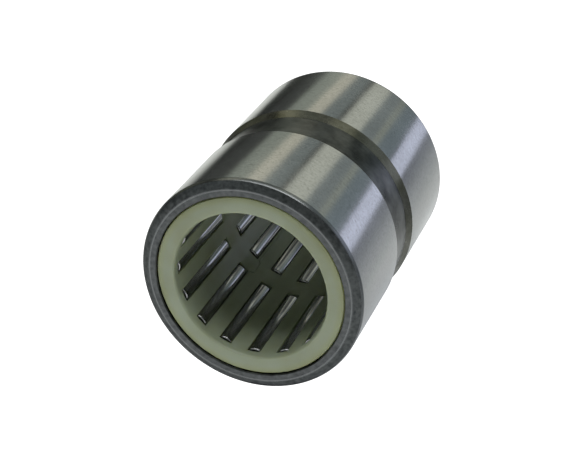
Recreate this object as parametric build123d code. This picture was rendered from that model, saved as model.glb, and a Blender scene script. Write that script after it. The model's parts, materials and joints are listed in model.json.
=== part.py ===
"""Double-row needle roller bearing without an inner ring.

A machined steel outer ring carries a one-piece moulded cage, and the cage
holds two aligned rows of loose needle rollers.  The shaft runs on the needles.

Frame: the bearing axis is Y, +Z is up, and the origin is the centre of the
outer ring.  The front end faces -Y.  All sizes are in millimetres.
"""

import os
from math import cos, radians, sin

from build123d import *

# Envelope of the bearing
OUTER_DIAMETER = 47.0
INSCRIBED_DIAMETER = 32.0  # circle that touches the needles from inside, the shaft size
RING_WIDTH = 59.0

# Needle rollers
NEEDLE_DIAMETER = 4.0
NEEDLE_LENGTH = 22.4
NEEDLE_END_RADIUS = 0.35
NEEDLES_PER_ROW = 16
FIRST_NEEDLE_ANGLE = 90.0  # degrees from +X towards +Z

# Outer ring
RACEWAY_CLEARANCE = 0.02
RACEWAY_CHAMFER = 0.35
END_CHAMFER_RADIAL = 1.8
END_CHAMFER_AXIAL = 1.1
GROOVE_WIDTH = 11.3
GROOVE_FLOOR_WIDTH = 7.5
GROOVE_DEPTH = 0.95
OIL_HOLE_DIAMETER = 2.5
OIL_HOLE_ANGLE = 180.0  # degrees from +X towards +Z

# Cage
CAGE_RECESS = 0.3  # front face of the cage behind the front face of the ring
CAGE_RADIAL_CLEARANCE = 0.1
CAGE_BORE_DIAMETER = 32.4
CAGE_END_WIDTH = 2.0
CAGE_WEB_WIDTH = 5.4
CAGE_OUTER_RADIUS = 0.3
CAGE_INNER_RADIUS = 0.25
POCKET_LENGTH = 23.7
POCKET_CLEARANCE = 0.06
POCKET_MOUTH_WIDTH = 2.76  # opening towards the shaft, narrower than a needle

# Worked out from the sizes above
RING_RADIUS = OUTER_DIAMETER / 2
NEEDLE_RADIUS = NEEDLE_DIAMETER / 2
PITCH_RADIUS = INSCRIBED_DIAMETER / 2 + NEEDLE_RADIUS
RACEWAY_RADIUS = PITCH_RADIUS + NEEDLE_RADIUS + RACEWAY_CLEARANCE
CAGE_OUTSIDE_RADIUS = RACEWAY_RADIUS - CAGE_RADIAL_CLEARANCE
CAGE_BORE_RADIUS = CAGE_BORE_DIAMETER / 2
CAGE_WIDTH = 2 * (CAGE_END_WIDTH + POCKET_LENGTH) + CAGE_WEB_WIDTH
CAGE_CENTRE = -RING_WIDTH / 2 + CAGE_RECESS + CAGE_WIDTH / 2
ROW_OFFSET = (CAGE_WEB_WIDTH + POCKET_LENGTH) / 2
ROWS = {"front": CAGE_CENTRE - ROW_OFFSET, "rear": CAGE_CENTRE + ROW_OFFSET}


def turned(outline):
    """Solid of revolution about Y of a closed outline of (radius, y) points."""
    section = make_face(Polyline(*outline, close=True))
    return revolve(section, axis=Axis.Y)


def needle_place(row_centre, angle):
    """Frame on a needle's axis: local X points outwards, local Z along the bearing axis."""
    outwards = (cos(radians(angle)), 0, sin(radians(angle)))
    origin = (PITCH_RADIUS * outwards[0], row_centre, PITCH_RADIUS * outwards[2])
    return Plane(origin=origin, x_dir=outwards, z_dir=(0, 1, 0))


def needle_angles():
    """Angle of each needle about the bearing axis, in degrees."""
    step = 360 / NEEDLES_PER_ROW
    return [FIRST_NEEDLE_ANGLE + step * index for index in range(NEEDLES_PER_ROW)]


def oil_hole():
    """Radial drilling from the outside groove to the raceway."""
    direction = (cos(radians(OIL_HOLE_ANGLE)), 0, sin(radians(OIL_HOLE_ANGLE)))
    start = Plane(origin=(0, 0, 0), z_dir=direction)
    drill = Cylinder(
        OIL_HOLE_DIAMETER / 2,
        RING_RADIUS,
        align=(Align.CENTER, Align.CENTER, Align.MIN),
    )
    return start * drill


def outer_ring():
    """Thick ring with a plain raceway, chamfered ends and a wide shallow groove outside."""
    end = RING_WIDTH / 2
    half_outline = [
        (RACEWAY_RADIUS, end - RACEWAY_CHAMFER),
        (RACEWAY_RADIUS + RACEWAY_CHAMFER, end),
        (RING_RADIUS - END_CHAMFER_RADIAL, end),
        (RING_RADIUS, end - END_CHAMFER_AXIAL),
        (RING_RADIUS, GROOVE_WIDTH / 2),
        (RING_RADIUS - GROOVE_DEPTH, GROOVE_FLOOR_WIDTH / 2),
    ]
    mirrored = [(radius, -y) for radius, y in reversed(half_outline)]
    return turned(half_outline + mirrored) - oil_hole()


def cage_blank():
    """Plain sleeve of the cage, before its pockets, with rounded end corners."""
    sleeve = Cylinder(CAGE_OUTSIDE_RADIUS, CAGE_WIDTH) - Cylinder(CAGE_BORE_RADIUS, CAGE_WIDTH)
    corners = sleeve.edges().filter_by(GeomType.CIRCLE)
    outside = corners.filter_by(lambda edge: edge.radius > PITCH_RADIUS)
    inside = corners.filter_by(lambda edge: edge.radius < PITCH_RADIUS)
    sleeve = fillet(outside, CAGE_OUTER_RADIUS)
    inside = sleeve.edges().filter_by(GeomType.CIRCLE)
    inside = inside.filter_by(lambda edge: abs(edge.radius - CAGE_BORE_RADIUS) < 1e-6)
    sleeve = fillet(inside, CAGE_INNER_RADIUS)
    return Plane(origin=(0, CAGE_CENTRE, 0), z_dir=(0, 1, 0)) * sleeve


def pocket_cutter():
    """Pocket of one needle: round about the needle, open outwards, with a narrow mouth inwards."""
    round_radius = NEEDLE_RADIUS + POCKET_CLEARANCE
    reach = NEEDLE_DIAMETER
    seat = Circle(round_radius)
    outside = Pos(reach / 2, 0) * Rectangle(reach, 2 * round_radius)
    mouth = Pos(-reach / 2, 0) * Rectangle(reach, POCKET_MOUTH_WIDTH)
    return extrude(seat + outside + mouth, POCKET_LENGTH / 2, both=True)


def cage():
    """One-piece window cage with two rows of pockets and a web between the rows."""
    cutter = pocket_cutter()
    pockets = [
        needle_place(row_centre, angle) * cutter
        for row_centre in ROWS.values()
        for angle in needle_angles()
    ]
    return cage_blank() - pockets


def needle():
    """Needle roller about local Z, with rounded end corners."""
    roller = Cylinder(NEEDLE_RADIUS, NEEDLE_LENGTH)
    return fillet(roller.edges().filter_by(GeomType.CIRCLE), NEEDLE_END_RADIUS)


def main():
    """Write one STEP file for each piece of the bearing."""
    pieces = {"outer_ring": outer_ring(), "cage": cage()}
    roller = needle()
    for row, row_centre in ROWS.items():
        for number, angle in enumerate(needle_angles(), start=1):
            name = f"needle_{row}_{number:02d}"
            pieces[name] = needle_place(row_centre, angle) * roller

    os.makedirs("parts", exist_ok=True)
    for name, piece in pieces.items():
        export_step(piece, f"parts/{name}.step")


main()
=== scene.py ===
"""Looks of the double-row needle roller bearing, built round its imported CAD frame.

The bearing axis is Y with the front end at -Y, +Z is up, and every length is in metres.
"""

import json
from itertools import pairwise
from math import acos, asin, cos, pi, radians, sin, sqrt, tan

import bmesh
import bpy
from mathutils import Matrix, Vector


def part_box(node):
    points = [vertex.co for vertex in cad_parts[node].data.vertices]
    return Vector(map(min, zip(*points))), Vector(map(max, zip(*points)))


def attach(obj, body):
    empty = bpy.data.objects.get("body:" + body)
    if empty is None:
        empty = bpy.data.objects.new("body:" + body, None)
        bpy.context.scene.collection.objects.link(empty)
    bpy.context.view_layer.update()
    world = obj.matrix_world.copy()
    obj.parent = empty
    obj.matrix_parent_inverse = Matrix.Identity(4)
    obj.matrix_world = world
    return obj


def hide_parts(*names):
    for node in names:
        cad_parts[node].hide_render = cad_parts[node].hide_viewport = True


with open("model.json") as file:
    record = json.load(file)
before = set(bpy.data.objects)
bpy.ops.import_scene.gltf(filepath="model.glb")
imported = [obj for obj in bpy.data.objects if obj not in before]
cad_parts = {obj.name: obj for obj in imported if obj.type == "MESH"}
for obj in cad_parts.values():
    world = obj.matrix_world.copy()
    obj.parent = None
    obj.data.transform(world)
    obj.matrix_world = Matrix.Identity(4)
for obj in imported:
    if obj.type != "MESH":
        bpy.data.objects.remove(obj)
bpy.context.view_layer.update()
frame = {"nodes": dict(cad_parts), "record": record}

MM = 0.001

# ---------------------------------------------------------------- sizes from the frame
RING_LOW, RING_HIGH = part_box("outer_ring")
RING_RADIUS = (RING_HIGH.x - RING_LOW.x) / 2
RING_END = (RING_HIGH.y - RING_LOW.y) / 2
CAGE_LOW, CAGE_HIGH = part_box("cage")
CAGE_OUTSIDE = (CAGE_HIGH.x - CAGE_LOW.x) / 2
NEEDLE_LOW, NEEDLE_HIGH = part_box("needle_front_01")
NEEDLE_RADIUS = (NEEDLE_HIGH.x - NEEDLE_LOW.x) / 2
NEEDLE_LENGTH = NEEDLE_HIGH.y - NEEDLE_LOW.y
PITCH_RADIUS = (NEEDLE_HIGH.z + NEEDLE_LOW.z) / 2
NEEDLES_PER_ROW = sum(name.startswith("needle_front") for name in frame["nodes"])
MOUNTS = {mount["name"]: mount for mount in frame["record"]["mounts"]}
CAGE_BORE = MOUNTS["shaft_bore"]["dims"]["r_mm"] * MM

# ---------------------------------------------------------------- sizes of the details
CAGE_CLEARANCE = 0.1 * MM  # between the cage and the raceway
RACEWAY_RADIUS = CAGE_OUTSIDE + CAGE_CLEARANCE
RACEWAY_CHAMFER = 0.18 * MM
RACEWAY_START = 1.2 * MM  # depth from the end where the ground raceway begins
END_CHAMFER_RADIAL = 1.8 * MM
END_CHAMFER_AXIAL = 1.1 * MM
# Painted highlight: a band of brighter steel on the flat end face, between these depths, stands in
# for the light line along the face's outer edge.
HIGHLIGHT_LINE_START, HIGHLIGHT_LINE_END = 0.40 * MM, 0.14 * MM  # inwards from the face's outer edge
GROOVE_HALF_WIDTH = 5.65 * MM
GROOVE_FLOOR_HALF_WIDTH = 3.75 * MM
GROOVE_DEPTH = 0.95 * MM
OIL_HOLE_RADIUS = 1.25 * MM
OIL_HOLE_ANGLE = 180.0  # degrees from +X towards +Z
OIL_HOLE_COUNTERSINK = 0.3 * MM
CAGE_END_WIDTH = 2.0 * MM
POCKET_LENGTH = 23.7 * MM
POCKET_CLEARANCE = 0.06 * MM
POCKET_RADIUS = NEEDLE_RADIUS + POCKET_CLEARANCE
POCKET_MOUTH_HALF_WIDTH = 1.38 * MM
NEEDLE_END_RADIUS = 0.35 * MM
CAGE_CORNER_OUT = 0.45 * MM
CAGE_CORNER_IN = 0.6 * MM
CAGE_EDGE_SOFTNESS = 0.1 * MM
PARTING_FRONT, PARTING_WEB, PARTING_REAR = -129.5, -126.0, -128.0  # degrees from +X towards +Z
NEARLY_NOTHING = 0.0001 * MM  # radius of a turned outline where it meets the axis

# ---------------------------------------------------------------- steps of the meshes
SHARP_ANGLE = 30.0  # degrees above which an edge stays hard
SOFTENED_ANGLE = 40.0  # degrees above which an edge of the cage is softened
ROUND_STEPS = 5
RING_SEGMENTS = 288
DRILL_SEGMENTS = 48
NEEDLE_SEGMENTS = 64
MOUTH_STEPS = 4
BAR_STEPS = 8
SEAT_STEPS = 6
CORNER_STEPS = 3

# ---------------------------------------------------------------- mesh helpers


def on_circle(radius, angle, y):
    """Point at an angle in radians from +X towards +Z, on a circle about the bearing axis."""
    return Vector((radius * cos(angle), y, radius * sin(angle)))


def arc_points(centre, radius, start, end, steps):
    """Points of an arc in the (radius, y) plane, with angles in degrees."""
    return [
        (
            centre[0] + radius * cos(radians(start + (end - start) * i / steps)),
            centre[1] + radius * sin(radians(start + (end - start) * i / steps)),
        )
        for i in range(steps + 1)
    ]


def rounded_outline(corners):
    """Closed outline of (radius, y, finish) points from (radius, y, rounding, finish) corners.

    A finish belongs to the stretch that leaves its corner.
    """
    points = []
    count = len(corners)
    for index, (radius, y, rounding, finish) in enumerate(corners):
        here = Vector((radius, y))
        before = Vector(corners[index - 1][:2]) - here
        after = Vector(corners[(index + 1) % count][:2]) - here
        if rounding == 0:
            points.append((radius, y, finish))
            continue
        before.normalize()
        after.normalize()
        half = acos(max(-1.0, min(1.0, before.dot(after)))) / 2
        reach = rounding / tan(half)
        middle = here + (before + after).normalized() * rounding / sin(half)
        start = here + before * reach - middle
        end = here + after * reach - middle
        turn = start.angle_signed(end)
        for step in range(ROUND_STEPS + 1):
            spoke = Matrix.Rotation(-turn * step / ROUND_STEPS, 2) @ start
            points.append((middle.x + spoke.x, middle.y + spoke.y, finish))
    return points


def linked(name, data):
    """Object of a name and data, in the scene."""
    made = bpy.data.objects.new(name, data)
    bpy.context.scene.collection.objects.link(made)
    return made


def finished_mesh(work, name):
    """Mesh of a name from a working mesh, which is used up."""
    mesh = bpy.data.meshes.new(name)
    work.to_mesh(mesh)
    work.free()
    return mesh


def smooth(mesh):
    """Smooth shading that breaks at sharp edges."""
    mesh.polygons.foreach_set("use_smooth", [True] * len(mesh.polygons))
    mesh.set_sharp_from_angle(angle=radians(SHARP_ANGLE))


def new_piece(name, mesh, materials):
    """Smooth object with its materials."""
    for material in materials:
        mesh.materials.append(material)
    smooth(mesh)
    return linked(name, mesh)


def applied(piece):
    """The piece with its modifiers made part of its mesh."""
    graph = bpy.context.evaluated_depsgraph_get()
    mesh = bpy.data.meshes.new_from_object(piece.evaluated_get(graph))
    piece.modifiers.clear()
    piece.data = mesh
    smooth(mesh)
    return piece


def lathe_mesh(name, outline, segments):
    """Closed solid of revolution about Y of a closed (radius, y, finish) outline."""
    work = bmesh.new()
    rings = []
    for segment in range(segments):
        angle = 2 * pi * segment / segments
        rings.append([work.verts.new(on_circle(radius, angle, y)) for radius, y, _ in outline])
    count = len(outline)
    for here, there in pairwise([*rings, rings[0]]):
        for index in range(count):
            after = (index + 1) % count
            face = work.faces.new((here[index], here[after], there[after], there[index]))
            face.material_index = outline[index][2]
    bmesh.ops.recalc_face_normals(work, faces=work.faces)
    return finished_mesh(work, name)


# ---------------------------------------------------------------- material helpers

NOISE_RANGE = (0.3, 0.7)  # where most of a noise's values lie
GRAIN_AROUND, GRAIN_ALONG = 900.0, 2600.0  # grains of the steel a metre
GRAIN_SHARE = 0.45  # of the steel's tone, the rest is its mottle
LAY_AROUND = 25.0  # changes a metre along one line of the tool's lay


def new_material(name):
    """Empty node material and its shader."""
    material = bpy.data.materials.new(name)
    material.use_nodes = True
    return material, material.node_tree.nodes["Principled BSDF"]


def node(tree, kind, inputs=None, **settings):
    """Node of a kind, with its settings and the values or links of its inputs."""
    made = tree.nodes.new(kind)
    for key, value in settings.items():
        setattr(made, key, value)
    for key, value in (inputs or {}).items():
        if isinstance(value, bpy.types.NodeSocket):
            tree.links.new(value, made.inputs[key])
        else:
            made.inputs[key].default_value = value
    return made


def stretched_noise(tree, around, along, detail=3.0, offset=0.0):
    """Noise with its grain per metre set apart round the bearing axis and along it."""
    place = node(tree, "ShaderNodeTexCoord").outputs["Object"]
    scaled = node(
        tree,
        "ShaderNodeMapping",
        {"Vector": place, "Scale": (around, along, around), "Location": (offset, offset, offset)},
    )
    return node(
        tree,
        "ShaderNodeTexNoise",
        {"Vector": scaled.outputs["Vector"], "Scale": 1.0, "Detail": detail},
    ).outputs["Fac"]


def ramp(tree, factor, stops):
    """Colour ramp of (position, colour) stops."""
    made = node(tree, "ShaderNodeValToRGB", {"Fac": factor})
    band = made.color_ramp
    for position, colour in stops:
        element = band.elements.new(position)
        element.color = (*colour, 1.0)
    band.elements.remove(band.elements[0])
    band.elements.remove(band.elements[-1])
    return made.outputs["Color"]


def span(tree, factor, low, high, to_low, to_high):
    """A number carried from one range to another, kept inside the second."""
    return node(
        tree,
        "ShaderNodeMapRange",
        {
            "Value": factor,
            "From Min": low,
            "From Max": high,
            "To Min": to_low,
            "To Max": to_high,
        },
    ).outputs["Result"]


def bumped(tree, shader, height, depth, normal=None):
    """A bump of a real depth in metres, on top of an earlier one."""
    inputs = {"Height": height, "Strength": 1.0, "Distance": depth}
    if normal is not None:
        inputs["Normal"] = normal
    made = node(tree, "ShaderNodeBump", inputs)
    tree.links.new(made.outputs["Normal"], shader.inputs["Normal"])
    return made.outputs["Normal"]


def tinted(tree, share, colour, tone):
    """A colour multiplied by a tone, as far as a share from 0 to 1 says."""
    return node(
        tree,
        "ShaderNodeMixRGB",
        {"Fac": share, "Color1": colour, "Color2": (*tone, 1.0)},
        blend_type="MULTIPLY",
    ).outputs["Color"]


def steel(name, dark, light, rough, lay, lay_depth, mottle=60.0, film=None, edge=1.0):
    """Machined steel between a dark and a light tone and between two roughnesses.

    The lay is the tool's lines a metre along the axis, and the mottle the blotches a metre. A film
    is the weight and the roughness of a patchy coat of oil. An edge below 1 holds back the
    brightening towards grazing angles, as a scaled skin does.
    """
    material, shader = new_material(name)
    tree = material.node_tree
    blotch = stretched_noise(tree, mottle, mottle, detail=4.0)
    grain = stretched_noise(tree, GRAIN_AROUND, GRAIN_ALONG, detail=2.0, offset=3.0)
    mixed = node(
        tree,
        "ShaderNodeMix",
        {"Factor": GRAIN_SHARE, "A": blotch, "B": grain},
        data_type="FLOAT",
    ).outputs["Result"]
    colour = ramp(tree, mixed, [(0.32, dark), (0.68, light)])
    tree.links.new(colour, shader.inputs["Base Color"])
    uneven = span(tree, blotch, *NOISE_RANGE, *rough)
    tree.links.new(uneven, shader.inputs["Roughness"])
    shader.inputs["Metallic"].default_value = 1.0
    shader.inputs["Specular Tint"].default_value = (edge, edge, edge, 1.0)
    if film:
        weight, film_rough = film
        patchy = span(tree, blotch, 0.35, 0.65, 0.3 * weight, 1.7 * weight)
        tree.links.new(patchy, shader.inputs["Coat Weight"])
        shader.inputs["Coat Roughness"].default_value = film_rough
    lines = stretched_noise(tree, LAY_AROUND, lay)
    bumped(tree, shader, lines, lay_depth)
    return material


def speckle(material, grain, low, high, tone):
    """Add fine stains of a tone to a material, from one level of a noise up to full at another."""
    tree = material.node_tree
    shader = tree.nodes["Principled BSDF"]
    clean = shader.inputs["Base Color"].links[0].from_socket
    noise = stretched_noise(tree, grain, grain, detail=2.0, offset=11.0)
    spots = span(tree, noise, low, high, 0.0, 1.0)
    tree.links.new(tinted(tree, spots, clean, tone), shader.inputs["Base Color"])


# ---------------------------------------------------------------- materials

GROUND_STEEL = steel(
    "ground_steel",
    dark=(0.33, 0.335, 0.335),
    light=(0.45, 0.455, 0.46),
    rough=(0.15, 0.20),
    lay=5200.0,
    lay_depth=0.0004 * MM,
)
speckle(GROUND_STEEL, grain=2200.0, low=0.50, high=0.75, tone=(0.80, 0.79, 0.78))
FACE_STEEL = steel(
    "face_steel",
    dark=(0.054, 0.058, 0.060),
    light=(0.110, 0.117, 0.120),
    rough=(0.30, 0.40),
    lay=3000.0,
    lay_depth=0.0015 * MM,
    mottle=1200.0,
)
HARDENED_SCALE = steel(
    "hardened_scale",
    dark=(0.006, 0.008, 0.007),
    light=(0.050, 0.056, 0.052),
    rough=(0.27, 0.41),
    lay=3600.0,
    lay_depth=0.003 * MM,
    mottle=240.0,
    film=(0.5, 0.33),
)
FLANK_SCALE = steel(
    "flank_scale",
    dark=(0.065, 0.066, 0.048),
    light=(0.11, 0.11, 0.085),
    rough=(0.18, 0.28),
    lay=3600.0,
    lay_depth=0.002 * MM,
    mottle=240.0,
    film=(0.5, 0.4),
)
BEVEL_SCALE = steel(
    "bevel_scale",
    dark=(0.032, 0.036, 0.037),
    light=(0.088, 0.095, 0.096),
    rough=(0.32, 0.42),
    lay=3600.0,
    lay_depth=0.002 * MM,
    mottle=1200.0,
    edge=0.6,
)
# Painted highlight: laid as a band on the flat end face, this brighter steel stands in for the
# light line along the face's outer edge. It also covers the rounded lead-in at the outside.
EDGE_HIGHLIGHT_STEEL = steel(
    "edge_highlight_steel",
    dark=(0.115, 0.122, 0.125),
    light=(0.16, 0.168, 0.172),
    rough=(0.22, 0.30),
    lay=3000.0,
    lay_depth=0.0008 * MM,
)
RACEWAY_STEEL = steel(
    "raceway_steel",
    dark=(0.42, 0.425, 0.43),
    light=(0.52, 0.525, 0.53),
    rough=(0.14, 0.20),
    lay=6000.0,
    lay_depth=0.0006 * MM,
)
NEEDLE_STEEL = steel(
    "needle_steel",
    dark=(0.26, 0.265, 0.27),
    light=(0.34, 0.345, 0.35),
    rough=(0.10, 0.16),
    lay=900.0,
    lay_depth=0.0003 * MM,
)


def polyamide():
    """Natural polyamide, slightly see-through, with a moulded grain and a film of oil."""
    material, shader = new_material("cage_polyamide")
    tree = material.node_tree
    cloud = stretched_noise(tree, 110.0, 110.0, detail=4.0)
    colour = ramp(
        tree,
        cloud,
        [(0.30, (0.28, 0.315, 0.20)), (0.55, (0.315, 0.36, 0.25)), (0.75, (0.34, 0.39, 0.285))],
    )
    place = node(tree, "ShaderNodeTexCoord").outputs["Object"]
    flat = node(
        tree,
        "ShaderNodeVectorMath",
        {0: place, 1: (1.0, 0.0, 1.0)},
        operation="MULTIPLY",
    ).outputs["Vector"]
    reach = node(tree, "ShaderNodeVectorMath", {0: flat}, operation="LENGTH").outputs["Value"]
    # Painted tint: darker and yellower towards the outer rim, standing in for how light passes
    # through the translucent plastic there.
    rim = span(tree, reach, CAGE_OUTSIDE - 1.7 * MM, CAGE_OUTSIDE, 0.0, 1.0)
    painted_rim_tint = tinted(tree, rim, colour, (1.0, 0.97, 0.68))
    tree.links.new(painted_rim_tint, shader.inputs["Base Color"])
    patches = stretched_noise(tree, 300.0, 300.0, detail=2.0, offset=5.0)
    tree.links.new(span(tree, patches, *NOISE_RANGE, 0.42, 0.55), shader.inputs["Roughness"])
    shader.inputs["Subsurface Weight"].default_value = 0.5
    shader.inputs["Subsurface Radius"].default_value = (1.0, 0.9, 0.5)
    shader.inputs["Subsurface Scale"].default_value = 1.8 * MM
    shader.inputs["IOR"].default_value = 1.45
    shader.inputs["Coat Weight"].default_value = 0.25
    shader.inputs["Coat Roughness"].default_value = 0.25
    grain = stretched_noise(tree, 2500.0, 2500.0, detail=2.0, offset=9.0)
    waves = stretched_noise(tree, 260.0, 160.0, detail=2.0, offset=7.0)
    first = bumped(tree, shader, waves, 0.02 * MM)
    bumped(tree, shader, grain, 0.003 * MM, first)
    return material


POLYAMIDE = polyamide()

# ---------------------------------------------------------------- outer ring

# Place of each finish among the ring's materials
GROUND, FACE, SCALE, FLANK, RACEWAY, EDGE, BEVEL = range(7)
RING_FINISHES = [
    GROUND_STEEL,
    FACE_STEEL,
    HARDENED_SCALE,
    FLANK_SCALE,
    RACEWAY_STEEL,
    EDGE_HIGHLIGHT_STEEL,
    BEVEL_SCALE,
]


def end_outline(way):
    """Section of one end of the ring, from the raceway out to the ground outside.

    The rear end has a way of 1. The front end is its mirror image, followed backwards.
    """
    lip = RACEWAY_RADIUS + RACEWAY_CHAMFER
    face = RING_RADIUS - END_CHAMFER_RADIAL
    edge = RING_END - END_CHAMFER_AXIAL
    corners = [
        (RACEWAY_RADIUS, RING_END - RACEWAY_START, 0, SCALE),
        (RACEWAY_RADIUS, RING_END - RACEWAY_CHAMFER, 0.04 * MM, SCALE),
        (lip, RING_END, 0.04 * MM, FACE),
        # Painted highlight line: a band of brighter steel on the flat face.
        (face - HIGHLIGHT_LINE_START, RING_END, 0, EDGE),
        (face - HIGHLIGHT_LINE_END, RING_END, 0, FACE),
        (face + 0.04 * MM, RING_END - 0.03 * MM, 0.12 * MM, BEVEL),
        (RING_RADIUS - 1.00 * MM, edge + 0.78 * MM, 0.8 * MM, BEVEL),
        (RING_RADIUS - 0.32 * MM, edge + 0.40 * MM, 0.2 * MM, EDGE),
        (RING_RADIUS, edge - 0.12 * MM, 1.2 * MM, GROUND),
    ]
    if way > 0:
        return corners
    finishes = [finish for *_, finish in corners]
    back = zip(reversed(corners), [*finishes[-2::-1], RACEWAY], strict=True)
    return [(radius, -y, rounding, finish) for (radius, y, rounding, _), finish in back]


def ring_outline():
    """Outline of the ring's section, from the rear of the raceway round to the front of it."""
    outside, floor = RING_RADIUS, RING_RADIUS - GROOVE_DEPTH
    groove = [
        (outside, GROOVE_HALF_WIDTH, 0.06 * MM, FLANK),
        (floor, GROOVE_FLOOR_HALF_WIDTH, 0.5 * MM, SCALE),
        (floor, -GROOVE_FLOOR_HALF_WIDTH, 0.5 * MM, FLANK),
        (outside, -GROOVE_HALF_WIDTH, 0.06 * MM, GROUND),
    ]
    return rounded_outline(end_outline(1) + groove + end_outline(-1))


def drill_mesh():
    """Cutter of the oil hole, along Y from its own origin, with a countersink at the groove."""
    floor = RING_RADIUS - GROOVE_DEPTH
    start = RACEWAY_RADIUS - 3 * MM
    bottom, top = floor - OIL_HOLE_COUNTERSINK, floor + OIL_HOLE_COUNTERSINK
    outline = [
        (NEARLY_NOTHING, start, SCALE),
        (OIL_HOLE_RADIUS, start, SCALE),
        (OIL_HOLE_RADIUS, bottom, SCALE),
        (OIL_HOLE_RADIUS + 2 * OIL_HOLE_COUNTERSINK, top, SCALE),
        (NEARLY_NOTHING, top, SCALE),
    ]
    return lathe_mesh("drill", outline, DRILL_SEGMENTS)


def outer_ring():
    """Ring turned from its outline, with the oil hole drilled through the groove."""
    body = lathe_mesh("ring_body", ring_outline(), RING_SEGMENTS)
    ring = new_piece("ring_body", body, RING_FINISHES)
    drill = new_piece("drill", drill_mesh(), RING_FINISHES)
    turn = Matrix.Rotation(radians(90 - OIL_HOLE_ANGLE), 4, "Y")
    lie = Matrix.Rotation(radians(90), 4, "X")
    drill.matrix_world = turn @ lie
    cut = ring.modifiers.new("oil_hole", "BOOLEAN")
    cut.object = drill
    cut.operation = "DIFFERENCE"
    cut.solver = "EXACT"
    applied(ring)
    bpy.data.objects.remove(drill)
    return ring


# ---------------------------------------------------------------- cage

PITCH_ANGLE = 2 * pi / NEEDLES_PER_ROW
FIRST_NEEDLE_ANGLE = pi / 2  # from +X towards +Z


def pocket_wall():
    """One side wall of a pocket, from mouth to outside, as (radius, sideways) points."""
    mouth = POCKET_MOUTH_HALF_WIDTH
    lip = asin(mouth / POCKET_RADIUS)
    points = [(sqrt(CAGE_BORE**2 - mouth**2), mouth)]
    for step in range(SEAT_STEPS + 1):
        angle = pi - lip - (pi / 2 - lip) * step / SEAT_STEPS
        points.append((PITCH_RADIUS + POCKET_RADIUS * cos(angle), POCKET_RADIUS * sin(angle)))
    points.append((sqrt(CAGE_OUTSIDE**2 - POCKET_RADIUS**2), POCKET_RADIUS))
    return points


def pitch_angles(half):
    """Angles over one pitch from a pocket's far wall: across the bar, then the next pocket."""
    bar = [half + (PITCH_ANGLE - 2 * half) * i / BAR_STEPS for i in range(BAR_STEPS)]
    gap = [PITCH_ANGLE - half + 2 * half * i / MOUTH_STEPS for i in range(MOUTH_STEPS)]
    return bar + gap


def around(half):
    """Angles all the way round, pitch after pitch, from the first pocket."""
    return [
        FIRST_NEEDLE_ANGLE + PITCH_ANGLE * pocket + angle
        for pocket in range(NEEDLES_PER_ROW)
        for angle in pitch_angles(half)
    ]


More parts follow.
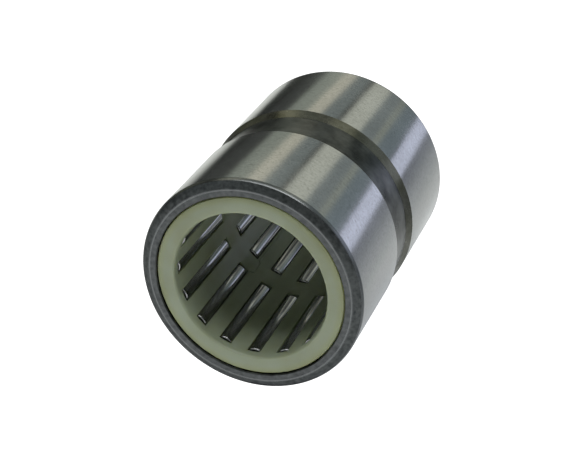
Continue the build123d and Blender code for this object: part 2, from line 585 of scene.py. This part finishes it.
class Cage:
    """Builds the one-piece cage as a closed mesh."""

    def __init__(self):
        self.work = bmesh.new()
        self.inner = around(asin(POCKET_MOUTH_HALF_WIDTH / CAGE_BORE))
        self.outer = around(asin(POCKET_RADIUS / CAGE_OUTSIDE))
        self.count = len(self.inner)
        self.per_pitch = BAR_STEPS + MOUTH_STEPS

    def loop(self, radius, y, share):
        """Ring of vertices; share 0 takes the bore's angles and 1 the outside's."""
        return [
            self.work.verts.new(on_circle(radius, a + (b - a) * share, y))
            for a, b in zip(self.inner, self.outer, strict=True)
        ]

    def strip(self, low, high, bars_only=False):
        """Faces between two rings, all the way round or on the bars only."""
        for index in range(self.count):
            if bars_only and index % self.per_pitch >= BAR_STEPS:
                continue
            after = (index + 1) % self.count
            self.work.faces.new((low[index], low[after], high[after], high[index]))

    def end(self, y, way, bore_loop, outside_loop):
        """End face with rounded corners; way is -1 at the front and 1 at the rear."""
        quarter = [radians(90 * step / CORNER_STEPS) for step in range(CORNER_STEPS + 1)]
        loops = [bore_loop]
        for angle in quarter[1:]:
            radius = CAGE_BORE + CAGE_CORNER_IN * (1 - cos(angle))
            loops.append(self.loop(radius, y - way * CAGE_CORNER_IN * (1 - sin(angle)), 0.0))
        for angle in quarter[:0:-1]:
            radius = CAGE_OUTSIDE - CAGE_CORNER_OUT * (1 - cos(angle))
            loops.append(self.loop(radius, y - way * CAGE_CORNER_OUT * (1 - sin(angle)), 1.0))
        loops.append(outside_loop)
        for low, high in pairwise(loops):
            self.strip(low, high)

    def pocket(self, number, low, high):
        """Side walls and end walls of one pocket between two pairs of rings."""
        turn = FIRST_NEEDLE_ANGLE + PITCH_ANGLE * number
        out = Vector((cos(turn), 0, sin(turn)))
        side = Vector((-sin(turn), 0, cos(turn)))
        first = number * self.per_pitch
        last = (first - MOUTH_STEPS) % self.count
        walls = {}
        for way, index in ((1, first), (-1, last)):
            for name, (bore, outside, y) in (("low", low), ("high", high)):
                wall = [
                    self.work.verts.new(out * radius + side * way * across + Vector((0, y, 0)))
                    for radius, across in pocket_wall()[1:-1]
                ]
                walls[way, name] = [bore[index], *wall, outside[index]]
            steps = pairwise(zip(walls[way, "low"], walls[way, "high"], strict=True))
            for (low_in, high_in), (low_out, high_out) in steps:
                self.work.faces.new((low_in, low_out, high_out, high_in))
        for name, (bore, outside, _) in (("low", low), ("high", high)):
            mouth = [bore[(last + i) % self.count] for i in range(1, MOUTH_STEPS)]
            back = [outside[(last + i) % self.count] for i in range(1, MOUTH_STEPS)]
            self.work.faces.new(walls[-1, name][::-1] + mouth + walls[1, name] + back[::-1])

    def build(self):
        """The whole cage, from the front end to the rear end."""
        half = (CAGE_HIGH.y - CAGE_LOW.y) / 2
        centre = (CAGE_HIGH.y + CAGE_LOW.y) / 2
        start = half - CAGE_END_WIDTH
        stop = start - POCKET_LENGTH
        edges = [-start, -stop, stop, start]
        bores = [self.loop(CAGE_BORE, centre + y, 0.0) for y in edges]
        outsides = [self.loop(CAGE_OUTSIDE, centre + y, 1.0) for y in edges]
        for low, high in ((0, 1), (2, 3)):
            self.strip(bores[low], bores[high], bars_only=True)
            self.strip(outsides[low], outsides[high], bars_only=True)
            for number in range(NEEDLES_PER_ROW):
                self.pocket(
                    number,
                    (bores[low], outsides[low], centre + edges[low]),
                    (bores[high], outsides[high], centre + edges[high]),
                )
        self.strip(bores[1], bores[2])
        self.strip(outsides[1], outsides[2])
        for way, index in ((-1, 0), (1, 3)):
            y = centre + way * half
            bore = self.loop(CAGE_BORE, y - way * CAGE_CORNER_IN, 0.0)
            outside = self.loop(CAGE_OUTSIDE, y - way * CAGE_CORNER_OUT, 1.0)
            self.strip(bores[index], bore)
            self.strip(outsides[index], outside)
            self.end(y, way, bore, outside)
        bmesh.ops.recalc_face_normals(self.work, faces=self.work.faces)
        return finished_mesh(self.work, "cage_body")


def cage():
    """Cage with the small edge rounding of a moulding."""
    piece = new_piece("cage_body", Cage().build(), [POLYAMIDE])
    soften = piece.modifiers.new("soft_edges", "BEVEL")
    soften.width = CAGE_EDGE_SOFTNESS
    soften.segments = 2
    soften.limit_method = "ANGLE"
    soften.angle_limit = radians(SOFTENED_ANGLE)
    return applied(piece)


def parting_lines():
    """Four fine ridges along the cage's bore, where the slides of the mould meet.

    Each steps aside between the rows, and its root is sunk in the cage.
    """
    high, sunk, half_width = 0.10 * MM, 0.08 * MM, 0.17 * MM
    step = 0.8 * MM
    centre = (CAGE_HIGH.y + CAGE_LOW.y) / 2
    half = (CAGE_HIGH.y - CAGE_LOW.y) / 2
    web = half - CAGE_END_WIDTH - POCKET_LENGTH
    path = [
        (PARTING_FRONT, step - half),
        (PARTING_FRONT, -web),
        (PARTING_WEB, step - web),
        (PARTING_WEB, web - step),
        (PARTING_REAR, web),
        (PARTING_REAR, half - step),
    ]
    lean = half_width / CAGE_BORE
    section = [
        (CAGE_BORE + sunk, -lean),
        (CAGE_BORE - high, -lean / 3),
        (CAGE_BORE - high, lean / 3),
        (CAGE_BORE + sunk, lean),
    ]
    work = bmesh.new()
    for quarter in range(4):
        stations = []
        for place, y in path:
            turn = radians(place + 90 * quarter)
            spots = [on_circle(radius, turn + aside, centre + y) for radius, aside in section]
            stations.append([work.verts.new(spot) for spot in spots])
        for here, there in pairwise(stations):
            for index in range(4):
                after = (index + 1) % 4
                work.faces.new((here[index], here[after], there[after], there[index]))
        work.faces.new(stations[0])
        work.faces.new(stations[-1][::-1])
    bmesh.ops.recalc_face_normals(work, faces=work.faces)
    mesh = finished_mesh(work, "cage_parting_lines")
    return new_piece("cage_parting_lines", mesh, [POLYAMIDE])


# ---------------------------------------------------------------- needles


def needle_mesh():
    """Needle about its own Y axis, with rounded end corners and flat ends."""
    end = NEEDLE_LENGTH / 2
    pole = 0.02 * MM
    corner = (NEEDLE_RADIUS - NEEDLE_END_RADIUS, end - NEEDLE_END_RADIUS)
    rear = arc_points(corner, NEEDLE_END_RADIUS, 0, 90, ROUND_STEPS)
    half = [(radius, y, 0) for radius, y in rear] + [(pole, end, 0)]
    front = [(radius, -y, 0) for radius, y, _ in reversed(half)]
    return lathe_mesh("needle", half + front, NEEDLE_SEGMENTS)


def needles():
    """Both rows of needles on one shared mesh, each in the place of its CAD node."""
    mesh = needle_mesh()
    mesh.materials.append(NEEDLE_STEEL)
    smooth(mesh)
    made = {}
    for name in sorted(frame["nodes"]):
        if name.startswith("needle_"):
            low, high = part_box(name)
            made[name] = linked(name.replace("needle", "roller"), mesh)
            made[name].location = (low + high) / 2
    return made


# ---------------------------------------------------------------- pieces on their bodies

ring_piece = outer_ring()
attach(ring_piece, "outer_ring")
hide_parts("outer_ring")

for moulded in (cage(), parting_lines()):
    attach(moulded, "cage")
    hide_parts("cage")

for node_name, roller in needles().items():
    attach(roller, node_name)
    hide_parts(node_name)

# ---------------------------------------------------------------- floor, light and camera

CAMERA_AZIMUTH = 20.48
CAMERA_ELEVATION = 28.85
CAMERA_PLACE = (91.13 * MM, -252.77 * MM, 145.51 * MM)
CAMERA_LENS = 90.07
SENSOR_WIDTH = 36.0
TABLE_GLOW, TABLE_DIM_GLOW = 0.62, 0.1
TABLE_BRIGHT_RADIUS, TABLE_DIM_RADIUS = 0.25, 0.45
FLOOR_GLOW = 0.80
FLOOR_SIZE = (4.0, 4.0)
CARD_LIFT = 0.2 * MM  # height of the cards that lie on the floor
STAGE_ROUGHNESS = 0.6
DOME_RADIUS = 3.0
SURROUND_TONE = (0.08, 0.085, 0.08)

# Light strips parallel to the bearing's axis: the angles round the axis, from +X towards
# +Z, that each covers, and its radiance. The groove's rear flank mirrors the near ones and
# the ground lands mirror the far ones.
STRIP_DISTANCE = 0.35
STRIP_START, STRIP_BREAK, STRIP_END = -0.05, 0.25, 0.85
NEAR_STRIPS = [
    (170.0, 146.0, (0.20, 0.21, 0.15)),
    (131.0, 115.0, (0.95, 0.93, 0.72)),
    (115.0, 92.0, (0.27, 0.30, 0.27)),
    (87.0, 65.0, (0.83, 0.85, 0.72)),
    (65.0, 49.0, (0.34, 0.39, 0.41)),
    (49.0, 33.0, (0.33, 0.38, 0.36)),
    (33.0, 12.0, (0.90, 0.96, 1.15)),
    (12.0, 0.0, (0.36, 0.39, 0.41)),
]
FAR_STRIPS = [
    (145.0, 124.0, (0.35, 0.385, 0.32)),
    (124.0, 109.0, (0.83, 0.80, 0.64)),
    (109.0, 92.0, (0.24, 0.28, 0.27)),
    (87.0, 65.0, (0.77, 0.79, 0.67)),
    (65.0, 49.0, (0.25, 0.29, 0.29)),
    (49.0, 42.0, (0.40, 0.43, 0.36)),
    (42.0, 23.0, (0.20, 0.255, 0.285)),
    (21.0, 1.0, (1.00, 1.06, 1.30)),
]

# The cards beside the bearing glow and are seen only in reflections: painted reflections of the
# floor there.
# Tones and glows of the cards, from the bearing outwards, as shares of each card's reach.
SIDE_REACH = 0.25
SIDE_TONES = [
    (0.18, (0.86, 0.86, 0.86)),
    (0.24, (0.64, 0.645, 0.65)),
    (0.32, (0.46, 0.465, 0.47)),
    (0.48, (0.25, 0.255, 0.26)),
    (0.90, (0.18, 0.185, 0.19)),
]
SIDE_GLOWS = [
    (0.08, (0.23, 0.24, 0.26)),
    (0.14, (0.125, 0.13, 0.14)),
    (0.21, (0.105, 0.11, 0.12)),
    (0.27, (0.16, 0.17, 0.18)),
    (0.38, (0.20, 0.21, 0.225)),
    (0.66, (0.12, 0.13, 0.14)),
]
LEFT_REACH = -0.5
LEFT_TONES = [
    (0.14, (0.86, 0.86, 0.85)),
    (0.20, (0.80, 0.80, 0.79)),
    (0.30, (0.60, 0.60, 0.59)),
    (0.50, (0.40, 0.405, 0.39)),
    (0.80, (0.20, 0.21, 0.20)),
]
LEFT_GLOWS = [
    (0.14, (0.33, 0.34, 0.33)),
    (0.45, (0.31, 0.32, 0.30)),
    (0.90, (0.08, 0.09, 0.08)),
]

# Glow of the card in front of the bearing, from its left end to its right end.
FRONT_GLOWS = [
    (0.06, (0.86, 0.90, 0.90)),
    (0.25, (0.66, 0.70, 0.70)),
    (0.40, (0.52, 0.54, 0.53)),
    (0.52, (0.36, 0.38, 0.36)),
    (0.80, (0.40, 0.42, 0.43)),
]


def area_light(name, place, facing, up, size, radiance):
    """Rectangular light of a given radiance, which the camera itself doesn't see."""
    data = bpy.data.lights.new(name, "AREA")
    data.shape = "RECTANGLE"
    data.size, data.size_y = size
    strongest = max(radiance)
    data.energy = strongest * pi * size[0] * size[1]
    data.color = [part / strongest for part in radiance]
    back = -Vector(facing).normalized()
    along = Vector(up).normalized()
    across = along.cross(back)
    turn = Matrix((across, along, back)).transposed().to_4x4()
    lamp = linked(name, data)
    lamp.matrix_world = Matrix.Translation(place) @ turn
    lamp.visible_camera = False


def light_strips(name, strips, near, far):
    """Strips that streak the steel along its length."""
    for index, (start, end, radiance) in enumerate(strips, start=1):
        turn = radians((start + end) / 2)
        out = Vector((cos(turn), 0, sin(turn)))
        across = 2 * STRIP_DISTANCE * tan(radians(start - end) / 2)
        place = out * STRIP_DISTANCE + Vector((0, (near + far) / 2, 0))
        area_light(f"{name}_{index}", place, -out, (0, 1, 0), (across, far - near), radiance)


def stage_grid(name, size, place, tone=None):
    """Flat stage surface, in one tone if given, with its material's tree and shader."""
    work = bmesh.new()
    bmesh.ops.create_grid(work, x_segments=1, y_segments=1, size=0.5)
    mesh = finished_mesh(work, name)
    plane = linked(name, mesh)
    plane.location = place
    plane.scale = (*size, 1.0)
    material, shader = new_material(name)
    shader.inputs["Roughness"].default_value = STAGE_ROUGHNESS
    if tone:
        shader.inputs["Base Color"].default_value = (*tone, 1.0)
    mesh.materials.append(material)
    return plane, material.node_tree, shader


def upright_card(name, size, place, tone, turn=0.0):
    """Stage surface that stands on its edge, turned in degrees about Z."""
    plane, tree, shader = stage_grid(name, size, place, tone)
    plane.rotation_euler = (radians(90), 0, radians(turn))
    return plane, tree, shader


def x_share(tree, start, end):
    """Share of the way from one X to another."""
    place = node(tree, "ShaderNodeNewGeometry").outputs["Position"]
    across = node(tree, "ShaderNodeSeparateXYZ", {"Vector": place}).outputs["X"]
    return span(tree, across, start, end, 0.0, 1.0)


def distance_from(tree, point):
    """Distance from a point."""
    place = node(tree, "ShaderNodeNewGeometry").outputs["Position"]
    return node(
        tree,
        "ShaderNodeVectorMath",
        {0: place, 1: point},
        operation="DISTANCE",
    ).outputs["Value"]


def glowing(tree, shader, share, glows):
    """Make a surface glow by the colours of a ramp."""
    tree.links.new(ramp(tree, share, glows), shader.inputs["Emission Color"])
    shader.inputs["Emission Strength"].default_value = 1.0


def reflected_only(card):
    """Leave a card to reflections: the camera, plain shading and shadows pass it by."""
    card.visible_camera = False
    card.visible_diffuse = False
    card.visible_transmission = False
    card.visible_shadow = False


def seen_only(piece):
    """Leave a stage piece to the camera: light and reflections pass it by."""
    piece.visible_diffuse = False
    piece.visible_glossy = False
    piece.visible_transmission = False
    piece.visible_shadow = False


def light_table():
    """Pale floor lit from below: one surface lights the bearing and its twin is seen."""
    centre = (0.0, 0.0, -RING_RADIUS)
    tone = (0.82, 0.82, 0.82)
    table, tree, shader = stage_grid("light_table", FLOOR_SIZE, centre, tone)
    shader.inputs["Emission Color"].default_value = (1.0, 1.0, 1.0, 1.0)
    reach = distance_from(tree, centre)
    edges = (TABLE_BRIGHT_RADIUS, TABLE_DIM_RADIUS)
    glow = span(tree, reach, *edges, TABLE_GLOW, TABLE_DIM_GLOW)
    tree.links.new(glow, shader.inputs["Emission Strength"])
    table.visible_camera = False
    floor, _, shader = stage_grid("floor", FLOOR_SIZE, centre, tone)
    shader.inputs["Emission Color"].default_value = (1.0, 1.0, 1.0, 1.0)
    shader.inputs["Emission Strength"].default_value = FLOOR_GLOW
    seen_only(floor)


def floor_flag(name, near, far, length, reach, tones, glows):
    """Grey card on the floor beside the bearing, from one X to another, darker further out.

    It starts at the bearing's front end, so the bevels there mirror the bare floor.
    """
    middle = ((near + far) / 2, length / 2 - RING_END, CARD_LIFT - RING_RADIUS)
    # Painted reflection: the card glows and is seen only in reflections, standing in for the floor
    # beside the bearing, brighter near it and darker further out.
    plane, tree, shader = stage_grid(name, (abs(far - near), length), middle)
    across = x_share(tree, 0.0, reach)
    tree.links.new(ramp(tree, across, tones), shader.inputs["Base Color"])
    glowing(tree, shader, across, glows)
    reflected_only(plane)


def front_glow():
    """Glowing card in front of the bearing, a painted reflection on the bevels facing it, brighter
    on the left.
    """
    width, height = 1.6, 0.7
    place = (0.0, -0.55, 0.36)
    plane, tree, shader = upright_card("front_glow", (width, height), place, (0.02, 0.02, 0.02))
    glowing(tree, shader, x_share(tree, -width / 2, width / 2), FRONT_GLOWS)
    reflected_only(plane)


def rear_shades():
    """Cards over the rear opening: a dark one that keeps the bore dim, and one for the needles.

    The needles' card is seen only in reflections, as painted shade in what they mirror there.
    It is clear at one place, which the needles at the lower left mirror.
    """
    width = 2 * CAGE_BORE
    tone = (0.03, 0.03, 0.03)
    size, place = (width, 26 * MM), (0.0, RING_END + 4 * MM, 3 * MM)
    shade, _, _ = upright_card("rear_shade", size, place, tone)
    shade.visible_camera = False
    shade.visible_glossy = False
    behind = RING_END + 6 * MM
    veil, tree, shader = upright_card("rear_veil", (width, width), (0.0, behind, 0.0), tone)
    clearing = (9.5 * MM, behind, 1.5 * MM)
    clear_radius, covered_radius, most_cover = 3 * MM, 16 * MM, 0.72
    reach = distance_from(tree, clearing)
    cover = span(tree, reach, clear_radius, covered_radius, 0.0, most_cover)
    tree.links.new(cover, shader.inputs["Alpha"])
    reflected_only(veil)


def rear_flag():
    """Dark upright card behind the bearing on the left, seen only in reflections: a painted dark
    reflection.
    """
    width, height = 0.7, 0.08
    place = (-0.30, 0.42, height / 2 - RING_RADIUS)
    tone = (0.05, 0.055, 0.05)
    plane, _, _ = upright_card("rear_flag", (width, height), place, tone, turn=140)
    reflected_only(plane)


def backdrop():
    """Pale dome that only the camera sees, above the far edge of the floor."""
    work = bmesh.new()
    bmesh.ops.create_uvsphere(work, u_segments=48, v_segments=24, radius=DOME_RADIUS)
    mesh = finished_mesh(work, "backdrop")
    dome = linked("backdrop", mesh)
    material = bpy.data.materials.new("backdrop")
    material.use_nodes = True
    tree = material.node_tree
    tree.nodes.clear()
    glow = node(tree, "ShaderNodeEmission", {"Color": (1.0, 1.0, 1.0, 1.0), "Strength": 1.0})
    node(tree, "ShaderNodeOutputMaterial", {"Surface": glow.outputs["Emission"]})
    mesh.materials.append(material)
    seen_only(dome)


def world_light():
    """Even, dim light from all round."""
    world = bpy.data.worlds.new("studio")
    bpy.context.scene.world = world
    world.use_nodes = True
    background = world.node_tree.nodes["Background"]
    background.inputs["Color"].default_value = (*SURROUND_TONE, 1.0)
    background.inputs["Strength"].default_value = 1.0


def camera():
    """Camera at the photograph's viewing angle."""
    data = bpy.data.cameras.new("camera")
    data.sensor_width = SENSOR_WIDTH
    data.lens = CAMERA_LENS
    data.clip_start = 0.01
    data.clip_end = 20.0
    holder = linked("camera", data)
    holder.location = CAMERA_PLACE
    holder.rotation_euler = (radians(90 - CAMERA_ELEVATION), 0, radians(CAMERA_AZIMUTH))
    bpy.context.scene.camera = holder


light_table()
floor_flag(
    "side_flag",
    near=0.0,
    far=0.6,
    length=0.98,
    reach=SIDE_REACH,
    tones=SIDE_TONES,
    glows=SIDE_GLOWS,
)
floor_flag(
    "left_flag",
    near=-0.06,
    far=-0.8,
    length=1.18,
    reach=LEFT_REACH,
    tones=LEFT_TONES,
    glows=LEFT_GLOWS,
)
rear_flag()
rear_shades()
front_glow()
backdrop()
world_light()
light_strips("near_strip", NEAR_STRIPS, STRIP_START, STRIP_BREAK)
light_strips("far_strip", FAR_STRIPS, STRIP_BREAK, STRIP_END)
area_light(
    "overhead",
    place=(0.0, -0.22, 0.9),
    facing=(0, 0.2, -1),
    up=(0, 1, 0.2),
    size=(0.9, 0.3),
    radiance=(4.0, 4.0, 4.0),
)
camera()
bpy.context.scene.view_settings.view_transform = "Standard"
